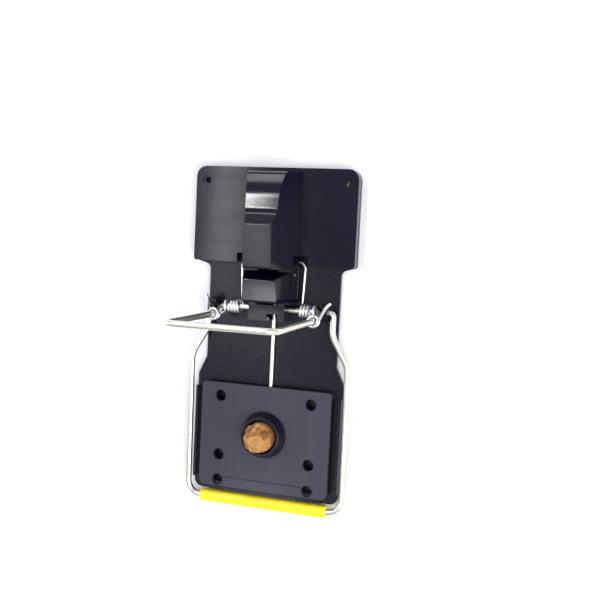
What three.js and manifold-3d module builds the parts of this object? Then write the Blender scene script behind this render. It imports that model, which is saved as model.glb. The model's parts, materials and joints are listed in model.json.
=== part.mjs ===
// Snap trap with a moulded base, a sprung kill bar and a wire setting lever.
// Millimetres, +Z up, -Y is the front (the grip of the setting lever), +Y is the rear.
// The origin is the middle of the footprint, on the surface the trap stands on.
import * as THREE from 'three';
import { mergeVertices } from 'three/addons/utils/BufferGeometryUtils.js';
import Module from 'manifold-3d';

const wasm = await Module();
wasm.setup();

// ---------------------------------------------------------------- driving dimensions
const GAP = 0.3;                 // clearance between neighbouring pieces
const REAR_Y = 85.3;             // rear edge of the base
const DECK_FRONT_Y = 38.3;       // front edge of the raised rear deck
const FLARE_Y = [-10.7, -19.7];  // where the base widens towards its front part
const FRONT_Y = -78.7;           // front edge of the base
const DECK_HALF = 41.7;          // half widths of the base: rear deck, waist, front part
const WAIST_HALF = 34.2;
const FRONT_HALF = 38.3;
const FLOOR = 2.3;               // thickness of the base plate
const DECK_TOP = 7.0;            // top of the rear deck
const DECK_WALL = 2.0;
const RIM_TOP = 5.0;             // top of the rims beside the treadle
const RIM_WALL = 1.4;

const AXIS_Y = 16.3;             // common axis of the kill bar, main spring and setting lever
const AXIS_Z = 6.4;
const WIRE = 1.5;                // radius of the kill bar's and the lever's wire
const ARM_X = 25.5;              // kill bar arms
const ARM_KNEE = [12.7, 11.4];   // Y and Z where each cranked arm straightens
const ARM_TOP = [12.4, 70.9];    // Y and Z of the crossbar when set
const NECK_X = 32.4;             // setting lever: neck, sides and front bar
const SIDE_X = 40.8;
const NECK_Y = 5.0;
const SHOULDER_Y = -9.5;
const GRIP_Y = -82.15;
const GRIP_Z = 4.2;
const GRIP_HALF = 33.3;
const GRIP_RADIUS = 3.15;
const LUG = { inner: 27.6, outer: 30.4, radius: 4.2 };

const SPRING_WIRE = 0.77;        // radius of the main spring's wire
const COIL_RADIUS = 2.8;         // mean radius of its coils
const COIL_PITCH = 1.62;
const COIL_X = 15.5;             // innermost turn of each coil
const RING_X = 22.9;             // last turn, which moves with the kill bar
const BAIL_X = 16.5;
const BAIL_Y = 39.7;

const PLATE_HALF = 33.75;        // treadle plate
const PLATE_Y = [-75.7, -22.7];
const PLATE_Z = [5.2, 7.4];
const HINGE_Y = -25.2;           // treadle hinge, hidden under the plate's rear edge
const HINGE_Z = 3.9;
const HINGE_PIN = 0.75;          // radius of the treadle's pins
const PIN = 1.0;                 // radius of the latch lever's pin
const CUP_Y = -46.8;             // bait cup
const CUP = { pot: 9.2, bore: 8.2, rim: 9.8, skirt: 11.8, top: 13.2 };
const HOLE_X = 23.7;
const HOLE_Y = [-29.3, -59.3, -72.3];

const FOOT_Z = 2.6;              // central housing: foot, flanks and profile
const CHEEK_TOP = 12.2;
const FLANK_FOOT = 13.9;
const FLANK_TOP = 6.6;
const RIDGE_TOP = 30;
const SHELL = 2.0;
const LATCH_Y = 33.5;            // latch lever pivot
const LATCH_Z = 9.0;
const ARM_OFFSET = 1.6;          // the trigger arm runs a little to the right of the middle
const SCREWS = [                 // housing screws: place and top of the boss they bite into
  { name: 'front', y: 50, top: 28.2 },
  { name: 'rear', y: 73, top: 22.4 },
];
const FIXING = { x: 35.65, y: 78.4, radius: 1.6 };

// ---------------------------------------------------------------- materials
function finish(color, roughness, metalness) {
  return new THREE.MeshStandardMaterial({ color, roughness, metalness });
}
const blackPlastic = finish(0x1b1a20, 0.25, 0.0);
const platePlastic = finish(0x3a3842, 0.4, 0.0);
const zincWire = finish(0xcfcdc2, 0.3, 1.0);
const springSteel = finish(0xc4c6c8, 0.25, 1.0);
const yellowSleeve = finish(0xf2d51d, 0.35, 0.0);
const baitPaste = finish(0xc98f3c, 0.7, 0.0);
const screwSteel = finish(0x8d9094, 0.35, 1.0);

// ---------------------------------------------------------------- solids
function signedVolume(geometry) {
  const p = geometry.attributes.position;
  const index = geometry.index;
  const [a, b, c] = [new THREE.Vector3(), new THREE.Vector3(), new THREE.Vector3()];
  let total = 0;
  for (let i = 0; i < index.count; i += 3) {
    a.fromBufferAttribute(p, index.getX(i));
    b.fromBufferAttribute(p, index.getX(i + 1));
    c.fromBufferAttribute(p, index.getX(i + 2));
    total += a.dot(b.cross(c));
  }
  return total;
}

// Positions only, shared vertices merged and faces turned outwards.
function closed(geometry) {
  const bare = geometry.clone();
  bare.deleteAttribute('normal');
  bare.deleteAttribute('uv');
  const merged = mergeVertices(bare, 1e-4);
  if (signedVolume(merged) < 0) {
    const order = Array.from(merged.index.array);
    for (let i = 0; i < order.length; i += 3) {
      [order[i], order[i + 1]] = [order[i + 1], order[i]];
    }
    merged.setIndex(order);
  }
  return merged;
}

function solid(geometry) {
  const merged = closed(geometry);
  return new wasm.Manifold(new wasm.Mesh({
    numProp: 3,
    vertProperties: new Float32Array(merged.attributes.position.array),
    triVerts: new Uint32Array(merged.index.array),
  }));
}

function join(...parts) {
  return parts.reduce((whole, part) => whole.add(part));
}

function cut(whole, ...tools) {
  return tools.reduce((rest, tool) => rest.subtract(tool), whole);
}

function geometryOf(manifold) {
  const mesh = manifold.getMesh();
  const geometry = new THREE.BufferGeometry();
  geometry.setAttribute('position', new THREE.BufferAttribute(new Float32Array(mesh.vertProperties), 3));
  geometry.setIndex(new THREE.BufferAttribute(new Uint32Array(mesh.triVerts), 1));
  geometry.computeVertexNormals();
  return geometry;
}

const root = new THREE.Group();

function addNode(name, shape, material) {
  const geometry = shape.isBufferGeometry ? closed(shape) : geometryOf(shape);
  geometry.computeVertexNormals();
  const mesh = new THREE.Mesh(geometry, material);
  mesh.name = name;
  root.add(mesh);
}

// ---------------------------------------------------------------- basic shapes
function block(x, y, z) {
  const geometry = new THREE.BoxGeometry(x[1] - x[0], y[1] - y[0], z[1] - z[0]);
  geometry.translate((x[0] + x[1]) / 2, (y[0] + y[1]) / 2, (z[0] + z[1]) / 2);
  return solid(geometry);
}

function upright(radius, x, y, z, sides = 24) {
  const geometry = new THREE.CylinderGeometry(radius, radius, z[1] - z[0], sides);
  geometry.rotateX(Math.PI / 2);
  geometry.translate(x, y, (z[0] + z[1]) / 2);
  return solid(geometry);
}

function crosswise(radius, x, y, z, sides = 20) {
  const geometry = new THREE.CylinderGeometry(radius, radius, x[1] - x[0], sides);
  geometry.rotateZ(Math.PI / 2);
  geometry.translate((x[0] + x[1]) / 2, y, z);
  return solid(geometry);
}

function polygon(points) {
  return new THREE.Shape(points.map(([x, y]) => new THREE.Vector2(x, y)));
}

// A polygon with each corner rounded by the radius given as its third value.
function roundedPolygon(corners, steps = 4) {
  const points = [];
  corners.forEach(([x, y, radius = 0], i) => {
    const corner = new THREE.Vector2(x, y);
    if (radius === 0) {
      points.push(corner);
      return;
    }
    const before = corners[(i + corners.length - 1) % corners.length];
    const after = corners[(i + 1) % corners.length];
    const back = new THREE.Vector2(before[0], before[1]).sub(corner).normalize();
    const on = new THREE.Vector2(after[0], after[1]).sub(corner).normalize();
    const half = back.angleTo(on) / 2;
    const reach = radius / Math.tan(half);
    const start = corner.clone().addScaledVector(back, reach);
    const end = corner.clone().addScaledVector(on, reach);
    const middle = back.clone().add(on).normalize();
    const centre = corner.clone().addScaledVector(middle, radius / Math.sin(half));
    const from = Math.atan2(start.y - centre.y, start.x - centre.x);
    let sweep = Math.atan2(end.y - centre.y, end.x - centre.x) - from;
    if (sweep > Math.PI) sweep -= 2 * Math.PI;
    if (sweep < -Math.PI) sweep += 2 * Math.PI;
    for (let k = 0; k <= steps; k += 1) {
      const angle = from + (sweep * k) / steps;
      points.push(new THREE.Vector2(centre.x + radius * Math.cos(angle), centre.y + radius * Math.sin(angle)));
    }
  });
  return new THREE.Shape(points);
}

// Outline in X and Y, raised along Z.
function slab(shape, z) {
  const geometry = new THREE.ExtrudeGeometry(shape, { depth: z[1] - z[0], bevelEnabled: false });
  geometry.translate(0, 0, z[0]);
  return solid(geometry);
}

// Outline in Y and Z, extended along X.
function sideways(shape, x) {
  const geometry = new THREE.ExtrudeGeometry(shape, { depth: x[1] - x[0], bevelEnabled: false });
  geometry.rotateZ(Math.PI / 2);
  geometry.rotateY(Math.PI / 2);
  geometry.translate(x[0], 0, 0);
  return solid(geometry);
}

// Outline in X and Z, extended along Y.
function lengthwise(shape, y) {
  const geometry = new THREE.ExtrudeGeometry(shape, { depth: y[1] - y[0], bevelEnabled: false });
  geometry.rotateX(Math.PI / 2);
  geometry.translate(0, y[1], 0);
  return solid(geometry);
}

function ring(profile, x, y, segments = 32) {
  const points = profile.map(([r, z]) => new THREE.Vector2(r, z));
  const geometry = new THREE.LatheGeometry(points, segments);
  geometry.rotateX(Math.PI / 2);
  geometry.translate(x, y, 0);
  return geometry;
}

// ---------------------------------------------------------------- wire
// A wire's centre line through listed points, with one step of the sweep per point.
class WirePath extends THREE.Curve {
  constructor(points) {
    super();
    this.points = points;
  }

  getPoint(t, target = new THREE.Vector3()) {
    const place = t * (this.points.length - 1);
    const i = Math.min(Math.floor(place), this.points.length - 2);
    return target.lerpVectors(this.points[i], this.points[i + 1], place - i);
  }

  getUtoTmapping(u) {
    return u;
  }

  getTangent(t, target = new THREE.Vector3()) {
    const last = this.points.length - 1;
    const i = Math.round(t * last);
    const here = this.points[i];
    target.set(0, 0, 0);
    if (i > 0) target.add(here.clone().sub(this.points[i - 1]).normalize());
    if (i < last) target.add(this.points[i + 1].clone().sub(here).normalize());
    return target.normalize();
  }
}

function wire(points, radius, sides = 8) {
  const section = new THREE.Shape();
  section.absarc(0, 0, radius, 0, 2 * Math.PI, false);
  const outline = section.getSpacedPoints(sides).slice(0, sides);
  return new THREE.ExtrudeGeometry(new THREE.Shape(outline), {
    steps: points.length - 1,
    extrudePath: new WirePath(points),
  });
}

// Corners given as [x, y, z, bend radius]; each bend becomes an arc of short steps.
function bends(corners, steps = 5) {
  const places = corners.map(([x, y, z]) => new THREE.Vector3(x, y, z));
  const points = [];
  places.forEach((corner, i) => {
    const radius = corners[i][3] ?? 0;
    if (radius === 0) {
      points.push(corner);
      return;
    }
    const back = places[i - 1].clone().sub(corner).normalize();
    const on = places[i + 1].clone().sub(corner).normalize();
    const half = back.angleTo(on) / 2;
    const middle = back.clone().add(on).normalize();
    const centre = corner.clone().addScaledVector(middle, radius / Math.sin(half));
    const start = corner.clone().addScaledVector(back, radius / Math.tan(half)).sub(centre);
    const turn = Math.PI - 2 * half;
    const pivot = new THREE.Vector3().crossVectors(on, back).normalize();
    for (let k = 0; k <= steps; k += 1) {
      points.push(start.clone().applyAxisAngle(pivot, (turn * k) / steps).add(centre));
    }
  });
  return points;
}

// A point on the main spring's coil: angle 0 is the bottom, growing towards the front.
function coilPoint(x, angle) {
  return new THREE.Vector3(
    x,
    AXIS_Y - COIL_RADIUS * Math.sin(angle),
    AXIS_Z - COIL_RADIUS * Math.cos(angle),
  );
}

function mirrored(geometry) {
  const copy = geometry.clone();
  copy.scale(-1, 1, 1);
  return copy;
}

// ---------------------------------------------------------------- base
function baseOutline() {
  const right = [
    [DECK_HALF, REAR_Y, 5],
    [DECK_HALF, DECK_FRONT_Y, 1.2],
    [WAIST_HALF, DECK_FRONT_Y - 2, 3],
    [WAIST_HALF, FLARE_Y[0], 3],
    [FRONT_HALF, FLARE_Y[1], 3],
    [FRONT_HALF, FRONT_Y, 4],
  ];
  const left = right.map(([x, y, radius]) => [-x, y, radius]).reverse();
  return roundedPolygon([...right, ...left]);
}

function leverLug(side) {
  const shape = new THREE.Shape();
  shape.moveTo(AXIS_Y - LUG.radius, FLOOR - 0.5);
  shape.lineTo(AXIS_Y - LUG.radius, AXIS_Z);
  shape.absarc(AXIS_Y, AXIS_Z, LUG.radius, Math.PI, 0, true);
  shape.lineTo(AXIS_Y + LUG.radius, FLOOR - 0.5);
  const x = side > 0 ? [LUG.inner, LUG.outer] : [-LUG.outer, -LUG.inner];
  return sideways(shape, x);
}

// Open-topped cradles that the treadle's pins snap into.
function hingeCradles() {
  const half = HINGE_PIN + 1.3;
  const slot = HINGE_PIN - 0.15;
  const top = HINGE_Z + HINGE_PIN + 0.1;
  const shape = polygon([
    [HINGE_Y - half, FLOOR - 0.5],
    [HINGE_Y + half, FLOOR - 0.5],
    [HINGE_Y + half - 0.7, top],
    [HINGE_Y + slot, top],
    [HINGE_Y + slot, HINGE_Z],
    [HINGE_Y - slot, HINGE_Z],
    [HINGE_Y - slot, top],
    [HINGE_Y - half + 0.7, top],
  ]);
  return [[9, 17.6], [26.4, 33.4]].flatMap(([a, b]) => [
    sideways(shape, [a, b]),
    sideways(shape, [-b, -a]),
  ]);
}

function baseTray() {
  const parts = [slab(baseOutline(), [0, FLOOR])];
  const rimY = [PLATE_Y[0] + 3, FLARE_Y[1] - 6];
  for (const side of [-1, 1]) {
    const edge = [FRONT_HALF - RIM_WALL, FRONT_HALF].map((x) => x * side).sort((a, b) => a - b);
    parts.push(block(edge, rimY, [FLOOR - 0.5, RIM_TOP]));
    parts.push(leverLug(side));
    parts.push(upright(3.4, side * FIXING.x, FIXING.y, [FLOOR - 0.5, DECK_TOP - DECK_WALL - GAP]));
  }
  parts.push(block([-30, 30], [FRONT_Y, FRONT_Y + 1.6], [FLOOR - 0.5, FLOOR + 1.2]));
  parts.push(...hingeCradles());
  for (const { y } of SCREWS) {
    parts.push(upright(3.6, 0, y, [FLOOR - 0.5, DECK_TOP - DECK_WALL - GAP]));
  }
  const holes = [];
  for (const side of [-1, 1]) {
    const reach = [LUG.inner - 1, LUG.outer + 1].map((x) => x * side).sort((a, b) => a - b);
    holes.push(crosswise(WIRE + 0.2, reach, AXIS_Y, AXIS_Z));
    const pinReach = [8, 34].map((x) => x * side).sort((a, b) => a - b);
    holes.push(crosswise(HINGE_PIN + 0.1, pinReach, HINGE_Y, HINGE_Z, 16));
    holes.push(upright(FIXING.radius, side * FIXING.x, FIXING.y, [-1, DECK_TOP]));
  }
  for (const { y } of SCREWS) {
    holes.push(upright(1.7, 0, y, [-1, DECK_TOP], 16));
    holes.push(upright(3.0, 0, y, [-1, 1.6], 20));
  }
  return cut(join(...parts), ...holes);
}

function deckOutline(inset) {
  const half = DECK_HALF - inset;
  return roundedPolygon([
    [half, REAR_Y - inset, 5 - inset],
    [half, DECK_FRONT_Y + inset, 1.2],
    [-half, DECK_FRONT_Y + inset, 1.2],
    [-half, REAR_Y - inset, 5 - inset],
  ]);
}

function rearDeck() {
  const shell = cut(
    slab(deckOutline(0), [FLOOR + GAP, DECK_TOP]),
    slab(deckOutline(DECK_WALL), [0, DECK_TOP - DECK_WALL]),
  );
  const pocket = block([-18.4, 18.4], [DECK_FRONT_Y - 1, 42.9], [0, DECK_TOP + 1]);
  const holes = [];
  for (const side of [-1, 1]) {
    holes.push(upright(FIXING.radius, side * FIXING.x, FIXING.y, [0, DECK_TOP + 1]));
    holes.push(upright(2.7, side * FIXING.x, FIXING.y, [DECK_TOP - 0.7, DECK_TOP + 1]));
  }
  for (const { y } of SCREWS) {
    holes.push(upright(1.7, 0, y, [0, DECK_TOP + 1], 16));
  }
  return cut(shell, pocket, ...holes);
}

// ---------------------------------------------------------------- central housing
function flankOutline(inset) {
  const foot = FLANK_FOOT - inset;
  const top = FLANK_TOP - inset * 0.8;
  const radius = 1.6;
  return roundedPolygon([
    [foot, FOOT_Z - 1],
    [foot - 0.1, DECK_TOP],
    [top, RIDGE_TOP + 0.2 - inset, radius],
    [-top, RIDGE_TOP + 0.2 - inset, radius],
    [-foot + 0.1, DECK_TOP],
    [-foot, FOOT_Z - 1],
  ]);
}

function ridgeProfile() {
  return roundedPolygon([
    [83.3, DECK_TOP + GAP],
    [82.3, 20.2, 3],
    [73.5, 24.6, 24],
    [63.4, 25.8, 9],
    [57, 30, 1.3],
    [36.3, 28.7, 1.2],
    [36.3, CHEEK_TOP],
    [19.3, CHEEK_TOP],
    [24.2, FOOT_Z],
    [37.9, FOOT_Z],
    [37.9, DECK_TOP + GAP],
  ]);
}

function ridgeHollow() {
  return polygon([
    [81.2, 0],
    [80.4, 19.2],
    [62.1, 23.8],
    [56.4, 27.9],
    [38.3, 26.7],
    [38.3, CHEEK_TOP - SHELL],
    [21.6, CHEEK_TOP - SHELL],
    [27.0, 0],
  ]);
}

function ridgeHousing() {
  const outer = sideways(ridgeProfile(), [-20, 20]).intersect(lengthwise(flankOutline(0), [0, 90]));
  const bearing = block([-9.3, 9.3], [10.6, 22.5], [FOOT_Z, CHEEK_TOP - 0.4]);
  const hollow = sideways(ridgeHollow(), [-20, 20]).intersect(lengthwise(flankOutline(SHELL), [0, 90]));
  const bosses = SCREWS.map(({ y, top }) => upright(3.4, 0, y, [DECK_TOP + GAP, top]));
  const shell = cut(join(outer, bearing), hollow);
  return cut(
    join(shell, ...bosses),
    block([-7.2, 7.2], [12.2, 27.5], [0, CHEEK_TOP - SHELL]),
    block([-5.4, 5.4], [18.3, 39], [CHEEK_TOP - SHELL - 1, CHEEK_TOP + 0.3]),
    block([0.1, 5.8], [10, 14], [0, CHEEK_TOP]),
    crosswise(WIRE + 0.2, [-12, 12], AXIS_Y, AXIS_Z),
    crosswise(PIN + 0.15, [-16, 16], LATCH_Y, LATCH_Z, 16),
    ...SCREWS.map(({ y }) => upright(1.25, 0, y, [0, 17], 16)),
    block([-30, 30], [37.5, 43], [0, 5.2]),
  );
}

function housingScrew(y) {
  return ring([
    [0, 0.1], [2.75, 0.1], [2.75, 0.7], [1.05, 1.5], [1.05, 15], [0, 16],
  ], 0, y, 16);
}

// ---------------------------------------------------------------- latch
function latchLever() {
  const side = roundedPolygon([
    [20.0, CHEEK_TOP + 0.5, 0.6],
    [20.0, 23.0, 1.4],
    [31.3, 25.0, 1.0],
    [34.8, CHEEK_TOP + 0.9],
    [31.3, CHEEK_TOP + 0.5],
  ]);
  const flank = roundedPolygon([
    [12.1, CHEEK_TOP],
    [8.1, 25.2, 1.6],
    [-8.1, 25.2, 1.6],
    [-12.1, CHEEK_TOP],
  ]);
  const head = sideways(side, [-15, 15]).intersect(lengthwise(flank, [10, 40]));
  const stem = sideways(roundedPolygon([
    [22.3, CHEEK_TOP + 1.5],
    [20.3, 9.6],
    [20.3, 7.0],
    [22.3, 5.6],
    [30.0, 5.6],
    [33.0, LATCH_Z - 2.4],
    [35.9, LATCH_Z - 1.6],
    [38.0, LATCH_Z - 1.4],
    [38.0, LATCH_Z + 1.0],
    [35.4, LATCH_Z + 1.7, 0.8],
    [30.0, CHEEK_TOP + 1.5],
  ]), [-4.4, 4.4]);
  return cut(join(head, stem), crosswise(PIN + 0.15, [-6, 6], LATCH_Y, LATCH_Z, 16));
}

function latchSpring() {
  const points = [];
  const turns = 3;
  const perTurn = 10;
  const [low, high] = [FLOOR + GAP + 0.35, LATCH_Z - 3.5];
  for (let k = 0; k <= turns * perTurn; k += 1) {
    const angle = (2 * Math.PI * k) / perTurn;
    points.push(new THREE.Vector3(
      -1.8 + 1.2 * Math.cos(angle),
      35.8 + 1.2 * Math.sin(angle),
      low + ((high - low) * k) / (turns * perTurn),
    ));
  }
  return wire(points, 0.3, 6);
}

// ---------------------------------------------------------------- kill bar and setting lever
function killBar() {
  const arm = [
    [ARM_X, AXIS_Y, AXIS_Z, 2.6],
    [ARM_X, ...ARM_KNEE, 4],
    [ARM_X, ...ARM_TOP, 5],
  ];
  return wire(bends([
    [-2.2, AXIS_Y, AXIS_Z, 0],
    ...arm.map(([x, ...rest]) => [-x, ...rest]),
    ...arm.reverse(),
    [7.4, AXIS_Y, AXIS_Z, 0],
  ], 6), WIRE, 12);
}

function leverHeight(y) {
  return AXIS_Z + ((GRIP_Z - AXIS_Z) * (AXIS_Y - y)) / (AXIS_Y - GRIP_Y);
}

function settingLever() {
  const right = [
    [LUG.inner + 0.1, AXIS_Y, 0],
    [NECK_X, AXIS_Y, 2.2],
    [NECK_X, NECK_Y, 12],
    [SIDE_X, SHOULDER_Y, 14],
    [SIDE_X, GRIP_Y, 7],
  ].map(([x, y, radius]) => [x, y, leverHeight(y), radius]);
  const left = right.map(([x, y, z, radius]) => [-x, y, z, radius]).reverse();
  return wire(bends([...right, ...left], 6), WIRE, 12);
}

function leverGrip() {
  const inner = WIRE + 0.15;
  const profile = [
    [inner, -GRIP_HALF],
    [GRIP_RADIUS - 0.4, -GRIP_HALF],
    [GRIP_RADIUS, -GRIP_HALF + 0.4],
    [GRIP_RADIUS, GRIP_HALF - 0.4],
    [GRIP_RADIUS - 0.4, GRIP_HALF],
    [inner, GRIP_HALF],
    [inner, -GRIP_HALF],
  ];
  const geometry = new THREE.LatheGeometry(profile.map(([r, z]) => new THREE.Vector2(r, z)), 24);
  geometry.rotateZ(Math.PI / 2);
  geometry.translate(0, GRIP_Y, GRIP_Z);
  return geometry;
}

function searCam() {
  const shape = new THREE.Shape();
  shape.absarc(AXIS_Y, AXIS_Z, 3.6, 0, 2 * Math.PI, false);
  const disc = sideways(new THREE.Shape(shape.getSpacedPoints(28).slice(0, 28)), [-6.8, -1.2]);
  const notch = block([-8, 0], [AXIS_Y + 2.4, AXIS_Y + 5], [AXIS_Z + 0.2, AXIS_Z + 5]);
  return cut(disc, notch, crosswise(WIRE + 0.05, [-8, 0], AXIS_Y, AXIS_Z, 12));
}

// ---------------------------------------------------------------- main spring
function mainSpring() {
  const turns = 3.5;
  const perTurn = 18;
  const coil = [];
  for (let k = 1; k <= turns * perTurn; k += 1) {
    const angle = (2 * Math.PI * k) / perTurn;
    coil.push(coilPoint(COIL_X + (COIL_PITCH * k) / perTurn, angle));
  }
  const floorZ = AXIS_Z - COIL_RADIUS;
  const bail = bends([
    [COIL_X, AXIS_Y, floorZ, 0],
    [BAIL_X, BAIL_Y, floorZ, 3],
    [-BAIL_X, BAIL_Y, floorZ, 3],
    [-COIL_X, AXIS_Y, floorZ, 0],
  ], 5);
  const leftCoil = coil.map((p) => new THREE.Vector3(-p.x, p.y, p.z));
  return wire([...coil.reverse(), ...bail, ...leftCoil], SPRING_WIRE);
}

// The last turn of the coil and the leg that bears on the kill bar's arm. It winds one and
// a half times round the arm and ends in a tail that the setting lever's neck picks up.
function springLeg() {
  const points = [];
  for (let k = 0; k <= 17; k += 1) {
    points.push(coilPoint(RING_X, Math.PI / 2 + (0.92 * 2 * Math.PI * (k - 17)) / 18));
  }
  const wrap = WIRE + SPRING_WIRE + 0.25;
  const wrapZ = ARM_KNEE[1] + 4.2;
  points.push(new THREE.Vector3(RING_X, ARM_KNEE[0] + 0.2, wrapZ - 5.0));
  points.push(new THREE.Vector3(RING_X - 0.1, ARM_KNEE[0] + 0.3, wrapZ - 2.2));
  const steps = 18;
  for (let k = 0; k <= steps; k += 1) {
    const angle = Math.PI + (3 * Math.PI * k) / steps;
    points.push(new THREE.Vector3(
      ARM_X + wrap * Math.cos(angle),
      ARM_KNEE[0] + wrap * Math.sin(angle),
      wrapZ + (3.0 * k) / steps,
    ));
  }
  points.push(new THREE.Vector3(28.7, 14.6, wrapZ + 1.6));
  points.push(new THREE.Vector3(29.4, 17.0, wrapZ - 0.6));
  points.push(new THREE.Vector3(30.5, 19.5, wrapZ - 2.6));
  points.push(new THREE.Vector3(32.2, 21.3, wrapZ - 3.8));
  return wire(points, SPRING_WIRE);
}

// ---------------------------------------------------------------- treadle and bait
function treadlePlate() {
  const outline = roundedPolygon([
    [PLATE_HALF, PLATE_Y[1], 1.5],
    [-PLATE_HALF, PLATE_Y[1], 1.5],
    [-PLATE_HALF, PLATE_Y[0], 3],
    [PLATE_HALF, PLATE_Y[0], 3],
  ]);
  const parts = [slab(outline, PLATE_Z)];
  for (const side of [-1, 1]) {
    const knuckle = [18.1, 25.9].map((x) => x * side).sort((a, b) => a - b);
    parts.push(crosswise(HINGE_PIN + 0.6, knuckle, HINGE_Y, HINGE_Z));
    parts.push(block(knuckle, [HINGE_Y - 1.3, HINGE_Y + 1.3], [HINGE_Z + 0.2, PLATE_Z[0] + 0.5]));
  }
  for (const x of [[-1.0, 0.2], [3.0, 4.2]]) {
    parts.push(block(x, [-36, -30], [3.0, PLATE_Z[0] + 0.5]));
  }
  const cuts = [upright(CUP.pot + GAP, 0, CUP_Y, [0, 20], 40)];
  for (const side of [-1, 1]) {
    const reach = [17, 27].map((x) => x * side).sort((a, b) => a - b);
    cuts.push(crosswise(HINGE_PIN + 0.1, reach, HINGE_Y, HINGE_Z, 16));
    for (const y of HOLE_Y) {
      cuts.push(upright(2.9, side * HOLE_X, y, [PLATE_Z[0] - 1, PLATE_Z[1] + 1]));
    }
  }
  cuts.push(block([-20.7, 20.7], [-70.9, -70.1], [PLATE_Z[1] - 0.5, PLATE_Z[1] + 1]));
  return cut(join(...parts), ...cuts);
}

function treadlePin(side) {
  const reach = [9.3, 33.2].map((x) => x * side).sort((a, b) => a - b);
  return crosswise(HINGE_PIN, reach, HINGE_Y, HINGE_Z, 16);
}

function triggerArm() {
  return wire(bends([
    [ARM_OFFSET, -36.5, 4.0],
    [ARM_OFFSET, -5.0, 4.0],
    [ARM_OFFSET, 25.5, 4.0],
  ]), 1.05, 10);
}

// A pot that drops into the plate, with a tapered skirt that stands on it.
function baitCup() {
  return ring([
    [0, 4.2], [CUP.pot - 1.0, 4.2], [CUP.pot, 5.0], [CUP.pot, PLATE_Z[1] + GAP],
    [CUP.skirt, PLATE_Z[1] + GAP], [CUP.rim, CUP.top], [CUP.bore, CUP.top],
    [CUP.bore - 0.4, 5.4], [0, 5.4],
  ], 0, CUP_Y, 40);
}

function bait() {
  const radius = 7.4;
  const profile = [[0, 5.75], [radius, 5.75], [radius, 15.2]];
  for (let k = 1; k <= 5; k += 1) {
    const angle = (Math.PI / 2) * (k / 5);
    profile.push([radius * Math.cos(angle), 15.2 + 4.2 * Math.sin(angle)]);
  }
  profile[profile.length - 1][0] = 0;
  return ring(profile, 0, CUP_Y, 28);
}

// ---------------------------------------------------------------- assembly
addNode('base_tray', baseTray(), blackPlastic);
addNode('rear_deck', rearDeck(), blackPlastic);
addNode('ridge_housing', ridgeHousing(), blackPlastic);
for (const { name, y } of SCREWS) {
  addNode(`housing_screw_${name}`, housingScrew(y), screwSteel);
}
addNode('latch_lever', latchLever(), blackPlastic);
addNode('latch_pin', crosswise(PIN, [-13.0, 13.0], LATCH_Y, LATCH_Z, 16), screwSteel);
addNode('latch_spring', latchSpring(), springSteel);
addNode('main_spring', mainSpring(), springSteel);
addNode('spring_leg_right', springLeg(), springSteel);
addNode('spring_leg_left', mirrored(springLeg()), springSteel);
addNode('kill_bar', killBar(), zincWire);
addNode('sear_cam', searCam(), blackPlastic);
addNode('setting_lever', settingLever(), zincWire);
addNode('lever_grip', leverGrip(), yellowSleeve);
addNode('treadle_plate', treadlePlate(), platePlastic);
addNode('treadle_pin_right', treadlePin(1), screwSteel);
addNode('treadle_pin_left', treadlePin(-1), screwSteel);
addNode('trigger_arm', triggerArm(), zincWire);
addNode('bait_cup', baitCup(), blackPlastic);
addNode('bait', bait(), baitPaste);

export default root;
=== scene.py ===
"""Looks for the snap trap: rounded moulded parts, drawn wire, a soft grip and crumbly bait.

Everything is in metres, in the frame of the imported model.
"""

import json
import math

import bmesh
import bpy
from mathutils import Matrix, Vector, noise


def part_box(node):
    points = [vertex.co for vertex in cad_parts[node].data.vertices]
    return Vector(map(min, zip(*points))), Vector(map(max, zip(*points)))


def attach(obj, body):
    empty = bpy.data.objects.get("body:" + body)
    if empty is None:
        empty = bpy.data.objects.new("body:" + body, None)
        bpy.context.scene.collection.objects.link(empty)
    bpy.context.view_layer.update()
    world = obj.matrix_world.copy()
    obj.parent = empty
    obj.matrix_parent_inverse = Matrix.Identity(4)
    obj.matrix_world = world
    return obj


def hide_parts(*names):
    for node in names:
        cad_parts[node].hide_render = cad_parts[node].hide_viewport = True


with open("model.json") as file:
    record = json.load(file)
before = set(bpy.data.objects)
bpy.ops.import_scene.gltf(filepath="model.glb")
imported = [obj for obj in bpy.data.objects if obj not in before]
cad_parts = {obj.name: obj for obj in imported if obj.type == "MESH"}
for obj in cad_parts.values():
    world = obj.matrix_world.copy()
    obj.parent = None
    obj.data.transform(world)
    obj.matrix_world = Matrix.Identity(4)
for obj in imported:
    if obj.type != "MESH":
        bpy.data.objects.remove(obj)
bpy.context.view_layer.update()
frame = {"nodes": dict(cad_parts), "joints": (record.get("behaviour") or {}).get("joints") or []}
MM = 0.001
FULL_TURN = 2 * math.pi

JOINTS = {joint["name"]: joint for joint in frame["joints"]}
AXIS = Vector(JOINTS["kill_bar_hinge"]["pos_m"])          # kill bar, main spring and lever turn on it
NODE = frame["nodes"]


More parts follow.
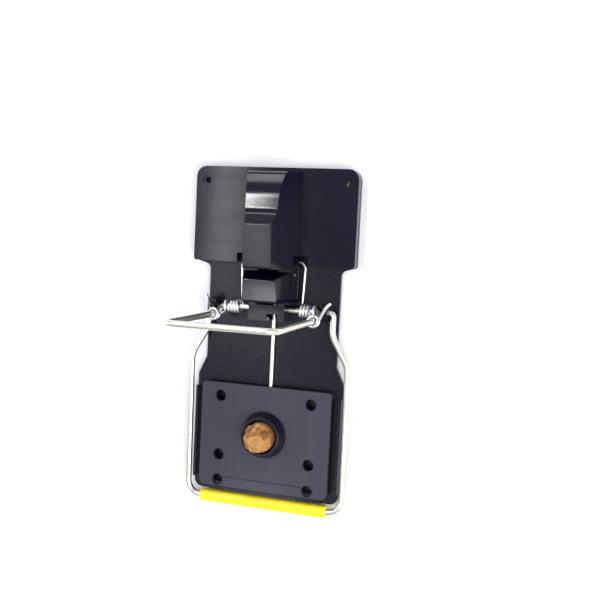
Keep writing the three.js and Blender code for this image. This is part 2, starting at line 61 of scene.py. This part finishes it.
# ---------------------------------------------------------------- node materials
class Shade:
    """A Principled material with short calls for the nodes that feed it."""

    def __init__(self, name, **fixed):
        self.material = bpy.data.materials.new(name)
        self.material.use_nodes = True
        self.tree = self.material.node_tree
        self.shader = self.tree.nodes["Principled BSDF"]
        for socket, value in fixed.items():
            self.shader.inputs[socket.replace("_", " ")].default_value = value
        coordinates = self.tree.nodes.new("ShaderNodeTexCoord")
        self.object = coordinates.outputs["Object"]
        self.uv = coordinates.outputs["UV"]

    def link(self, source, socket):
        self.tree.links.new(source, socket)

    def stretched(self, source, scale):
        node = self.tree.nodes.new("ShaderNodeMapping")
        node.inputs["Scale"].default_value = scale
        self.link(source, node.inputs["Vector"])
        return node.outputs["Vector"]

    def noise(self, scale, detail=3.0, rough=0.55, vector=None, distortion=0.0):
        node = self.tree.nodes.new("ShaderNodeTexNoise")
        node.inputs["Scale"].default_value = scale
        node.inputs["Detail"].default_value = detail
        node.inputs["Roughness"].default_value = rough
        node.inputs["Distortion"].default_value = distortion
        self.link(vector or self.object, node.inputs["Vector"])
        return node.outputs["Fac"]

    def cells(self, scale, feature="F1", output="Distance"):
        node = self.tree.nodes.new("ShaderNodeTexVoronoi")
        node.feature = feature
        node.inputs["Scale"].default_value = scale
        self.link(self.object, node.inputs["Vector"])
        return node.outputs[output]

    def ramp(self, source, stops):
        node = self.tree.nodes.new("ShaderNodeValToRGB")
        elements = node.color_ramp.elements
        while len(elements) < len(stops):
            elements.new(0.5)
        for element, (place, colour) in zip(elements, stops):
            element.position = place
            element.color = (*colour, 1.0)
        self.link(source, node.inputs["Fac"])
        return node.outputs["Color"]

    def span(self, source, low, high, start=0.3, end=0.7):
        node = self.tree.nodes.new("ShaderNodeMapRange")
        node.inputs["From Min"].default_value = start
        node.inputs["From Max"].default_value = end
        node.inputs["To Min"].default_value = low
        node.inputs["To Max"].default_value = high
        self.link(source, node.inputs["Value"])
        return node.outputs["Result"]

    def maths(self, operation, a, b):
        node = self.tree.nodes.new("ShaderNodeMath")
        node.operation = operation
        for socket, value in zip(node.inputs, (a, b)):
            if isinstance(value, (int, float)):
                socket.default_value = value
            else:
                self.link(value, socket)
        return node.outputs["Value"]

    def colour(self, source):
        self.link(source, self.shader.inputs["Base Color"])

    def roughness(self, source):
        self.link(source, self.shader.inputs["Roughness"])

    def bumps(self, *layers):
        """Each layer is a height and the depth in metres that it stands for."""
        normal = None
        for height, depth in layers:
            node = self.tree.nodes.new("ShaderNodeBump")
            node.inputs["Strength"].default_value = 1.0
            node.inputs["Distance"].default_value = depth
            self.link(height, node.inputs["Height"])
            if normal is not None:
                self.link(normal, node.inputs["Normal"])
            normal = node.outputs["Normal"]
        self.link(normal, self.shader.inputs["Normal"])


def moulded(name, dark, light, gloss, grain, coat):
    """Moulded plastic: fine spark-eroded grain, slow flow marks and handling scuffs."""
    s = Shade(name, Coat_Weight=coat, Coat_Roughness=0.12, IOR=1.5, Specular_IOR_Level=0.26)
    flow = s.noise(28.0, 2.0, vector=s.stretched(s.object, (1.0, 0.35, 1.0)))
    dust = s.noise(520.0, 4.0, 0.7)
    s.colour(s.ramp(s.maths("ADD", s.maths("MULTIPLY", flow, 0.75), s.maths("MULTIPLY", dust, 0.25)),
                    [(0.32, dark), (0.68, light)]))
    scuff = s.noise(95.0, 5.0, 0.65, vector=s.stretched(s.object, (1.0, 3.2, 1.0)), distortion=0.6)
    s.roughness(s.span(s.maths("ADD", s.maths("MULTIPLY", scuff, 0.7), s.maths("MULTIPLY", dust, 0.3)),
                       gloss[0], gloss[1]))
    s.bumps((s.noise(2600.0, 2.0), grain), (s.noise(60.0, 2.0), 0.00006))
    return s.material


def drawn_metal(name, dark, light, gloss):
    """Plated drawn wire: die lines along its length and slightly mottled plating."""
    s = Shade(name, Metallic=1.0)
    lines = s.noise(1.0, 4.0, 0.7, vector=s.stretched(s.uv, (26.0, 1.3, 1.0)))
    spangle = s.noise(420.0, 3.0, 0.6)
    tone = s.maths("ADD", s.maths("MULTIPLY", lines, 0.45), s.maths("MULTIPLY", spangle, 0.55))
    s.colour(s.ramp(tone, [(0.3, dark), (0.7, light)]))
    s.roughness(s.span(tone, gloss[0], gloss[1]))
    s.bumps((lines, 0.00001), (spangle, 0.000008))
    return s.material


def sleeve_material():
    """Soft yellow vinyl sleeve, a little darker in random patches, with fine pores."""
    s = Shade("yellow_sleeve", Coat_Weight=0.25, Coat_Roughness=0.2, Subsurface_Weight=0.08,
              Subsurface_Scale=0.002)
    patches = s.noise(70.0, 3.0)
    s.colour(s.ramp(patches, [(0.3, (0.83, 0.60, 0.004)), (0.7, (0.97, 0.77, 0.012))]))
    s.roughness(s.span(s.noise(900.0, 4.0, 0.7), 0.26, 0.42))
    s.bumps((s.noise(1500.0, 3.0), 0.00003), (s.noise(120.0, 2.0), 0.00012))
    return s.material


def bait_material():
    """Dry golden paste with browned patches, pale crumbs and open pores."""
    s = Shade("bait_paste", Subsurface_Weight=0.12, Subsurface_Scale=0.0015)
    patches = s.noise(190.0, 5.0, 0.65, distortion=0.8)
    s.colour(s.ramp(patches, [
        (0.30, (0.10, 0.028, 0.008)),
        (0.43, (0.25, 0.09, 0.022)),
        (0.54, (0.43, 0.20, 0.05)),
        (0.66, (0.58, 0.33, 0.12)),
        (0.80, (0.78, 0.62, 0.38)),
    ]))
    s.roughness(s.span(s.noise(700.0, 4.0), 0.5, 0.85))
    s.bumps((s.cells(900.0), 0.00035), (s.noise(2400.0, 4.0, 0.75), 0.0003))
    return s.material


# The black and grey-black plastics carry a slight blue cast in their colours: a painted reflection of blue
# surroundings, laid over their own dark tone.
BLACK_BASE = moulded(
    "black_base", dark=(0.004, 0.0035, 0.009), light=(0.008, 0.007, 0.016),
    gloss=(0.2, 0.32), grain=0.000008, coat=0.06,
)
BLACK_GLOSS = moulded(
    "black_gloss", dark=(0.003, 0.0025, 0.009), light=(0.006, 0.005, 0.016),
    gloss=(0.10, 0.18), grain=0.000003, coat=0.12,
)
PLATE = moulded(
    "grey_black_plate", dark=(0.032, 0.031, 0.046), light=(0.046, 0.045, 0.066),
    gloss=(0.32, 0.44), grain=0.000015, coat=0.1,
)
ZINC = drawn_metal("zinc_wire", (0.73, 0.71, 0.63), (0.86, 0.84, 0.76), (0.28, 0.38))
SPRING = drawn_metal("spring_steel", (0.82, 0.83, 0.84), (0.93, 0.94, 0.95), (0.26, 0.36))
SCREW = drawn_metal("screw_steel", (0.30, 0.31, 0.32), (0.48, 0.49, 0.50), (0.25, 0.42))
YELLOW = sleeve_material()
BAIT = bait_material()


# ---------------------------------------------------------------- meshes
def new_piece(name, mesh, body, material, stands_for):
    piece = bpy.data.objects.new(name, mesh)
    bpy.context.scene.collection.objects.link(piece)
    mesh.materials.clear()
    mesh.materials.append(material)
    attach(piece, body)
    if stands_for:
        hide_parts(*stands_for)
    return piece


def smooth(mesh, angle=35):
    mesh.polygons.foreach_set("use_smooth", [True] * len(mesh.polygons))
    mesh.set_sharp_from_angle(angle=math.radians(angle))
    mesh.update()


def rounded(node, body, material, width, segments=3, sharp=26):
    """The CAD part with its facets joined into whole faces and its edges rounded."""
    source = bmesh.new()
    source.from_mesh(NODE[node].data)
    bmesh.ops.remove_doubles(source, verts=source.verts, dist=2e-6)
    bmesh.ops.dissolve_limit(source, angle_limit=math.radians(1.0), verts=source.verts, edges=source.edges)
    mesh = bpy.data.meshes.new(node + "_moulded")
    source.to_mesh(mesh)
    source.free()
    mesh.polygons.foreach_set("use_smooth", [True] * len(mesh.polygons))
    piece = new_piece(node + "_moulded", mesh, body, material, [node])
    bevel = piece.modifiers.new("edges", "BEVEL")
    bevel.width = width
    bevel.segments = segments
    bevel.limit_method = "ANGLE"
    bevel.angle_limit = math.radians(sharp)
    bevel.miter_outer = "MITER_ARC"
    bevel.harden_normals = True
    piece.modifiers.new("shading", "WEIGHTED_NORMAL").keep_sharp = True
    return piece


def bend_points(corners, steps=12):
    """Corners as (place, bend radius); each bend becomes an arc."""
    points = []
    for i, (corner, radius) in enumerate(corners):
        if not radius:
            points.append(corner.copy())
            continue
        back = (corners[i - 1][0] - corner).normalized()
        on = (corners[i + 1][0] - corner).normalized()
        half = back.angle(on) / 2
        centre = corner + (back + on).normalized() * radius / math.sin(half)
        start = corner + back * radius / math.tan(half) - centre
        pivot = on.cross(back).normalized()
        for k in range(steps + 1):
            angle = (math.pi - 2 * half) * k / steps
            points.append(Matrix.Rotation(angle, 3, pivot) @ start + centre)
    return points


def spaced(points, step):
    """The same path with long straight stretches divided."""
    out = [points[0]]
    for a, b in zip(points, points[1:]):
        parts = max(1, round((b - a).length / step))
        out += [a.lerp(b, k / parts) for k in range(1, parts + 1)]
    return out


def wire_mesh(name, points, radius, sides=20, chamfer=0.25, step=4 * MM):
    """A round wire swept along points, with cut and slightly rounded ends and a UV along it."""
    points = spaced(points, step)
    last = len(points) - 1
    tangents = [(points[min(i + 1, last)] - points[max(i - 1, 0)]).normalized() for i in range(last + 1)]
    normal = tangents[0].orthogonal().normalized()
    rings = []
    for i, point in enumerate(points):
        if i:
            normal = tangents[i - 1].rotation_difference(tangents[i]) @ normal
        binormal = tangents[i].cross(normal).normalized()
        rings.append((point, tangents[i], normal.copy(), binormal))
    sections = []
    inset = radius * chamfer
    first, end = rings[0], rings[-1]
    sections.append((first[0], 1 - chamfer, first))
    sections.append((first[0] + first[1] * inset * 0.35, 1 - chamfer * 0.3, first))
    sections.append((first[0] + first[1] * inset, 1.0, first))
    sections += [(ring[0], 1.0, ring) for ring in rings[1:-1]]
    sections.append((end[0] - end[1] * inset, 1.0, end))
    sections.append((end[0] - end[1] * inset * 0.35, 1 - chamfer * 0.3, end))
    sections.append((end[0], 1 - chamfer, end))
    bm = bmesh.new()
    uv = bm.loops.layers.uv.new("UVMap")
    loops, along = [], []
    travelled = 0.0
    for i, (place, scale, (_, _, n, b)) in enumerate(sections):
        if i:
            travelled += (place - sections[i - 1][0]).length
        along.append(travelled / (10 * MM))
        loops.append([
            bm.verts.new(place + (n * math.cos(a) + b * math.sin(a)) * radius * scale)
            for a in (FULL_TURN * k / sides for k in range(sides))
        ])
    for i, (low, high) in enumerate(zip(loops, loops[1:])):
        for k in range(sides):
            face = bm.faces.new((low[k], low[(k + 1) % sides], high[(k + 1) % sides], high[k]))
            corners = ((k, i), (k + 1, i), (k + 1, i + 1), (k, i + 1))
            for loop, (u, v) in zip(face.loops, corners):
                loop[uv].uv = (u / sides, along[v])
    for ring, flip in ((loops[0], True), (loops[-1], False)):
        bm.faces.new(list(reversed(ring)) if flip else ring)
    bmesh.ops.recalc_face_normals(bm, faces=bm.faces)
    mesh = bpy.data.meshes.new(name)
    bm.to_mesh(mesh)
    bm.free()
    smooth(mesh, 50)
    return mesh


def lathe_mesh(name, profile, centre, direction, segments=64):
    """A profile of (radius, height) turned round a line; it closes on itself or ends on the axis."""
    bm = bmesh.new()
    turn = Vector((0, 0, 1)).rotation_difference(direction)
    rings = []
    for radius, height in profile:
        if radius < 1e-7:
            rings.append([bm.verts.new(centre + turn @ Vector((0, 0, height)))])
            continue
        rings.append([
            bm.verts.new(centre + turn @ Vector((radius * math.cos(a), radius * math.sin(a), height)))
            for a in (FULL_TURN * k / segments for k in range(segments))
        ])
    pairs = list(zip(rings, rings[1:]))
    if len(rings[0]) > 1 and len(rings[-1]) > 1:
        pairs.append((rings[-1], rings[0]))
    for low, high in pairs:
        for k in range(segments):
            corners = [
                low[k % len(low)], low[(k + 1) % len(low)],
                high[(k + 1) % len(high)], high[k % len(high)],
            ]
            bm.faces.new(list(dict.fromkeys(corners)))
    bmesh.ops.recalc_face_normals(bm, faces=bm.faces)
    mesh = bpy.data.meshes.new(name)
    bm.to_mesh(mesh)
    bm.free()
    smooth(mesh, 40)
    return mesh


def centre_of(node):
    low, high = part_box(node)
    return (Vector(low) + Vector(high)) / 2


def half_of(node):
    low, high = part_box(node)
    return (Vector(high) - Vector(low)) / 2


# ---------------------------------------------------------------- kill bar and setting lever
WIRE = 1.5 * MM
BAR_HALF = half_of("kill_bar").x - WIRE
KNEE = AXIS + Vector((0, -3.6, 5.0)) * MM                 # where each cranked arm straightens
TRUNNION_LEFT = -2.2 * MM                                 # where the kill bar's two ends stop
TRUNNION_RIGHT = 7.4 * MM
LUG_X = 27.7 * MM                                         # where the lever's ends start
NECK_X = 32.4 * MM
NECK_Y = 5.0 * MM
SHOULDER_Y = -9.5 * MM


def kill_bar():
    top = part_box("kill_bar")[1][2] - WIRE
    arm = [
        (Vector((BAR_HALF, AXIS.y, AXIS.z)), 2.6 * MM),
        (Vector((BAR_HALF, KNEE.y, KNEE.z)), 5 * MM),
        (Vector((BAR_HALF, KNEE.y - 0.3 * MM, top)), 5 * MM),
    ]
    corners = [(Vector((TRUNNION_LEFT, AXIS.y, AXIS.z)), 0)]
    corners += [(Vector((-p.x, p.y, p.z)), radius) for p, radius in arm]
    corners += arm[::-1]
    corners.append((Vector((TRUNNION_RIGHT, AXIS.y, AXIS.z)), 0))
    mesh = wire_mesh("kill_bar_wire", bend_points(corners), WIRE)
    new_piece("kill_bar_wire", mesh, "kill_bar", ZINC, ["kill_bar"])


def setting_lever():
    side = half_of("setting_lever").x - WIRE
    grip = centre_of("lever_grip")

    def place(x, y):
        fall = (AXIS.y - y) / (AXIS.y - grip.y)
        return Vector((x, y, AXIS.z + (grip.z - AXIS.z) * fall))

    right = [
        (place(LUG_X, AXIS.y), 0),
        (place(NECK_X, AXIS.y), 2.2 * MM),
        (place(NECK_X, NECK_Y), 12 * MM),
        (place(side, SHOULDER_Y), 14 * MM),
        (place(side, grip.y), 7 * MM),
    ]
    left = [(Vector((-p.x, p.y, p.z)), radius) for p, radius in reversed(right)]
    mesh = wire_mesh("setting_lever_wire", bend_points(right + left), WIRE)
    new_piece("setting_lever_wire", mesh, "setting_lever", ZINC, ["setting_lever"])


def grip_sleeve():
    centre = centre_of("lever_grip")
    half = half_of("lever_grip")
    radius = half.z
    bore = WIRE + 0.12 * MM
    edge = 0.55 * MM
    profile = [(bore, -half.x + 0.25 * MM), (bore + 0.25 * MM, -half.x)]
    profile += [
        (radius - edge + edge * math.sin(a), -half.x + edge - edge * math.cos(a))
        for a in (math.pi / 2 * k / 5 for k in range(6))
    ]
    profile += [(radius, -half.x + edge + (2 * half.x - 2 * edge) * k / 48) for k in range(1, 48)]
    profile += [
        (radius - edge + edge * math.cos(a), half.x - edge + edge * math.sin(a))
        for a in (math.pi / 2 * k / 5 for k in range(6))
    ]
    profile += [(bore + 0.25 * MM, half.x), (bore, half.x - 0.25 * MM)]
    mesh = lathe_mesh("grip_sleeve", profile, centre, Vector((1, 0, 0)), 40)
    for vertex in mesh.vertices:
        away = Vector((0, vertex.co.y - centre.y, vertex.co.z - centre.z))
        if away.length > bore * 1.5:
            swell = noise.noise(vertex.co * 140) * 0.07 * MM
            vertex.co += away.normalized() * (swell - 0.05 * MM)
    new_piece("grip_sleeve", mesh, "setting_lever", YELLOW, ["lever_grip"])


# ---------------------------------------------------------------- springs
SPRING_WIRE = 0.77 * MM
COIL_RADIUS = 2.8 * MM
COIL_PITCH = 1.62 * MM
COIL_X = 15.5 * MM                                        # innermost turn of each coil
COIL_TURNS = 3.5
RING_X = 22.9 * MM                                        # last turn, which moves with the kill bar
BAIL_X = 16.5 * MM
WRAP_ABOVE_KNEE = 4.2 * MM
WRAP_RISE = 3 * MM
LATCH_WIRE = 0.3 * MM


def coil_point(x, angle):
    return Vector((x, AXIS.y - COIL_RADIUS * math.sin(angle), AXIS.z - COIL_RADIUS * math.cos(angle)))


def flipped(points):
    return [Vector((-p.x, p.y, p.z)) for p in points]


def main_spring():
    per_turn = 40
    coil = [
        coil_point(COIL_X + COIL_PITCH * k / per_turn, FULL_TURN * k / per_turn)
        for k in range(1, round(COIL_TURNS * per_turn) + 1)
    ]
    floor = AXIS.z - COIL_RADIUS
    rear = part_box("main_spring")[1][1] - SPRING_WIRE
    bail = bend_points([
        (Vector((COIL_X, AXIS.y, floor)), 0),
        (Vector((BAIL_X, rear, floor)), 3 * MM),
        (Vector((-BAIL_X, rear, floor)), 3 * MM),
        (Vector((-COIL_X, AXIS.y, floor)), 0),
    ])
    path = coil[::-1] + bail + flipped(coil)
    mesh = wire_mesh("main_spring_wire", path, SPRING_WIRE, 16)
    new_piece("main_spring_wire", mesh, "base", SPRING, ["main_spring"])


def curve_through(points, parts=4):
    """Catmull-Rom points between the ones given."""
    out = []
    last = len(points) - 1
    for i in range(last):
        p0, p1, p2, p3 = (points[max(0, min(last, i + d))] for d in (-1, 0, 1, 2))
        for k in range(parts):
            t = k / parts
            out.append(0.5 * (2 * p1 + (p2 - p0) * t + (2 * p0 - 5 * p1 + 4 * p2 - p3) * t * t
                              + (3 * p1 - p0 - 3 * p2 + p3) * t ** 3))
    out.append(points[-1])
    return out


def spring_leg(side):
    steps = 34
    points = [
        coil_point(RING_X, math.pi / 2 + FULL_TURN * 0.92 * (k - steps) / (steps + 2))
        for k in range(steps + 1)
    ]
    wrap = WIRE + SPRING_WIRE + 0.2 * MM
    start = KNEE.z + WRAP_ABOVE_KNEE
    points += [
        Vector((RING_X, KNEE.y + 0.2 * MM, start - 5 * MM)),
        Vector((RING_X - 0.1 * MM, KNEE.y + 0.3 * MM, start - 2.2 * MM)),
    ]
    for k in range(37):
        angle = math.pi + 3 * math.pi * k / 36
        points.append(Vector((BAR_HALF + wrap * math.cos(angle), KNEE.y + wrap * math.sin(angle),
                              start + WRAP_RISE * k / 36)))
    tail = ((3.2, 1.9, 1.6), (3.9, 4.3, -0.6), (5.0, 6.8, -2.6), (6.7, 8.6, -3.8))
    points += [Vector((BAR_HALF, KNEE.y, start)) + Vector(step) * MM for step in tail]
    path = curve_through(points)
    name = "right" if side > 0 else "left"
    mesh = wire_mesh(f"spring_leg_{name}_wire", path if side > 0 else flipped(path), SPRING_WIRE, 16)
    new_piece(f"spring_leg_{name}_wire", mesh, "kill_bar", SPRING, [f"spring_leg_{name}"])


def latch_spring():
    low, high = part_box("latch_spring")
    centre = centre_of("latch_spring")
    radius = half_of("latch_spring").x - LATCH_WIRE
    turns, per_turn = 3, 24
    start, end = low[2] + LATCH_WIRE, high[2] - LATCH_WIRE
    points = [
        Vector((centre.x + radius * math.cos(FULL_TURN * k / per_turn),
                centre.y + radius * math.sin(FULL_TURN * k / per_turn),
                start + (end - start) * k / (turns * per_turn)))
        for k in range(turns * per_turn + 1)
    ]
    mesh = wire_mesh("latch_spring_wire", points, LATCH_WIRE, 12)
    new_piece("latch_spring_wire", mesh, "base", SPRING, ["latch_spring"])


# ---------------------------------------------------------------- small turned parts
def pin(node, body, name):
    half = half_of(node)
    radius, edge = half.z, 0.2 * MM
    profile = [(0, -half.x), (radius - edge, -half.x), (radius, -half.x + edge),
               (radius, half.x - edge), (radius - edge, half.x), (0, half.x)]
    mesh = lathe_mesh(name, profile, centre_of(node), Vector((1, 0, 0)), 32)
    new_piece(name, mesh, body, SCREW, [node])


def housing_screw(node):
    """Countersunk self-tapping screw with a cross recess, seen from under the base."""
    low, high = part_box(node)
    centre = centre_of(node)
    foot = Vector((centre.x, centre.y, low[2]))
    height = high[2] - low[2]
    head = half_of(node).x
    core, crest, pitch = 0.8 * MM, 1.05 * MM, 1.2 * MM
    profile = [(0, 0), (head - 0.3 * MM, 0), (head, 0.25 * MM), (head, 0.55 * MM), (crest, 1.5 * MM)]
    z = 3.0 * MM
    while z < height - 2.2 * MM:
        profile += [(core, z), (crest, z + pitch * 0.5), (core, z + pitch)]
        z += pitch
    profile += [(core, z + 0.1 * MM), (0, height)]
    mesh = lathe_mesh(node + "_turned", profile, foot, Vector((0, 0, 1)), 32)
    piece = new_piece(node + "_turned", mesh, "base", SCREW, [node])
    recess = bmesh.new()
    for turn in (0, math.pi / 2):
        place = Matrix.Translation(foot + Vector((0, 0, 0.3 * MM)))
        place = place @ Matrix.Rotation(turn + 0.5, 4, "Z")
        place = place @ Matrix.Diagonal((3.0 * MM, 0.7 * MM, 1.4 * MM, 1))
        bmesh.ops.create_cube(recess, size=1.0, matrix=place)
    cutter_mesh = bpy.data.meshes.new("recess")
    recess.to_mesh(cutter_mesh)
    recess.free()
    cut(piece, cutter_mesh)


def cut(piece, cutter_mesh):
    cutter = bpy.data.objects.new("cutter", cutter_mesh)
    bpy.context.scene.collection.objects.link(cutter)
    modifier = piece.modifiers.new("cut", "BOOLEAN")
    modifier.operation = "DIFFERENCE"
    modifier.solver = "EXACT"
    modifier.use_self = True
    modifier.object = cutter
    bpy.context.view_layer.update()
    evaluated = piece.evaluated_get(bpy.context.evaluated_depsgraph_get())
    result = bpy.data.meshes.new_from_object(evaluated)
    piece.modifiers.clear()
    old = piece.data
    piece.data = result
    bpy.data.meshes.remove(old)
    bpy.data.objects.remove(cutter)
    bpy.data.meshes.remove(cutter_mesh)


# ---------------------------------------------------------------- bait
BAIT_SHOULDER = 15.2 * MM                                 # height where its straight sides end


def bait():
    """A tall lump of dried paste with a broken, crumbly surface."""
    low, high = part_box("bait")
    centre = centre_of("bait")
    radius = half_of("bait").x
    bm = bmesh.new()
    bmesh.ops.create_icosphere(bm, subdivisions=6, radius=1.0)
    neck = BAIT_SHOULDER - low[2]
    crown = high[2] - low[2] - neck
    for vertex in bm.verts:
        p = vertex.co
        around = Vector((p.x, p.y, 0))
        rise = max(0.0, p.z)
        height = neck + crown * rise if p.z > 0 else neck * (1 + p.z)
        if around.length > 1e-6:
            around = around.normalized() * radius * min(1.0, around.length ** (0.8 if p.z > 0 else 0.25))
        place = Vector((centre.x, centre.y, low[2])) + around + Vector((0, 0, height))
        lump = noise.fractal(place * 260, 1.0, 2.1, 5)
        crumb = noise.voronoi(place * 420)[0][0]
        push = (0.75 * lump + 1.1 * (0.45 - crumb)) * MM
        in_cup = min(1.0, max(0.0, (height - 6 * MM) / (6 * MM)))
        vertex.co = place + Vector((p.x, p.y, rise * 1.2)).normalized() * (push - 0.25 * MM) * in_cup
    mesh = bpy.data.meshes.new("bait_lump")
    bm.to_mesh(mesh)
    bm.free()
    smooth(mesh, 60)
    new_piece("bait_lump", mesh, "treadle", BAIT, ["bait"])


# ---------------------------------------------------------------- the object
rounded("base_tray", "base", BLACK_BASE, 0.3 * MM)
rounded("rear_deck", "base", BLACK_GLOSS, 0.75 * MM)
rounded("ridge_housing", "base", BLACK_GLOSS, 0.65 * MM)
rounded("latch_lever", "latch", BLACK_GLOSS, 0.4 * MM)
rounded("sear_cam", "kill_bar", BLACK_BASE, 0.2 * MM)
rounded("treadle_plate", "treadle", PLATE, 0.3 * MM)
rounded("bait_cup", "treadle", BLACK_BASE, 0.35 * MM)
rounded("trigger_arm", "treadle", ZINC, 0.2 * MM, 2, 60)
kill_bar()
setting_lever()
grip_sleeve()
main_spring()
spring_leg(1)
spring_leg(-1)
latch_spring()
pin("latch_pin", "base", "latch_pin_turned")
pin("treadle_pin_right", "base", "treadle_pin_right_turned")
pin("treadle_pin_left", "base", "treadle_pin_left_turned")
housing_screw("housing_screw_front")
housing_screw("housing_screw_rear")
bait()


# ---------------------------------------------------------------- floor, light and camera
CAMERA_PLACE = (0.1364, 0.0515, 0.399)
CAMERA_RIGHT = Vector((0.95328, 0.04946, -0.29801))
CAMERA_UP = Vector((-0.06880, 0.99613, -0.05475))
CAMERA_LENS = 50.74


def floor():
    bm = bmesh.new()
    bmesh.ops.create_grid(bm, x_segments=1, y_segments=1, size=2.5)
    mesh = bpy.data.meshes.new("floor")
    bm.to_mesh(mesh)
    bm.free()
    piece = bpy.data.objects.new("floor", mesh)
    bpy.context.scene.collection.objects.link(piece)
    s = Shade("floor", Roughness=0.6)
    s.colour(s.ramp(s.noise(3.0, 2.0), [(0.3, (0.78, 0.78, 0.79)), (0.7, (0.80, 0.80, 0.81))]))
    mesh.materials.append(s.material)


def softbox(name, place, target, size, power, shape="RECTANGLE"):
    light = bpy.data.lights.new(name, "AREA")
    light.shape = shape
    light.size, light.size_y = size
    light.energy = power
    lamp = bpy.data.objects.new(name, light)
    bpy.context.scene.collection.objects.link(lamp)
    lamp.location = place
    lamp.rotation_mode = "QUATERNION"
    lamp.rotation_quaternion = (Vector(target) - Vector(place)).to_track_quat("-Z", "Y")


def surroundings():
    world = bpy.data.worlds.new("studio")
    world.use_nodes = True
    background = world.node_tree.nodes["Background"]
    background.inputs["Color"].default_value = (0.93, 0.95, 1.0, 1)
    background.inputs["Strength"].default_value = 0.5
    bpy.context.scene.world = world


def camera():
    """The photograph's view: nearly overhead, a little behind and to the right of the trap."""
    data = bpy.data.cameras.new("camera")
    data.sensor_width = 36.0
    data.lens = CAMERA_LENS
    data.clip_start = 0.01
    cam = bpy.data.objects.new("camera", data)
    bpy.context.scene.collection.objects.link(cam)
    back = CAMERA_RIGHT.cross(CAMERA_UP)
    turn = Matrix((CAMERA_RIGHT, CAMERA_UP, back)).transposed().to_4x4()
    cam.matrix_world = Matrix.Translation(CAMERA_PLACE) @ turn
    bpy.context.scene.camera = cam


floor()
surroundings()
# Soft light over the whole scene.
softbox("key", (0.75, -0.3, 1.0), (0, 0, 0), (1.1, 1.2), 20.0)
softbox("side", (-0.95, 0.05, 0.4), (0, 0, 0.02), (0.4, 0.9), 3.0)
softbox("rear", (-0.4, 0.95, 0.55), (0, 0.05, 0), (0.8, 0.14), 2.2)
# Small lights that the glossy deck, ridge and latch head reflect towards the camera.
softbox("strip", (-0.435, 0.08, 1.0), (-0.435, 0.08, 0), (0.045, 0.42), 0.5, "ELLIPSE")
softbox("kicker", (-0.405, 0.46, 1.0), (-0.405, 0.46, 0), (0.035, 0.24), 1.9, "ELLIPSE")
softbox("top_strip", (-0.355, -0.09, 1.0), (-0.355, -0.09, 0), (0.06, 0.16), 0.12, "ELLIPSE")
softbox("front_strip", (-0.36, -0.44, 1.0), (-0.36, -0.44, 0), (0.14, 0.12), 0.4, "ELLIPSE")
camera()
bpy.context.scene.view_settings.view_transform = "Standard"
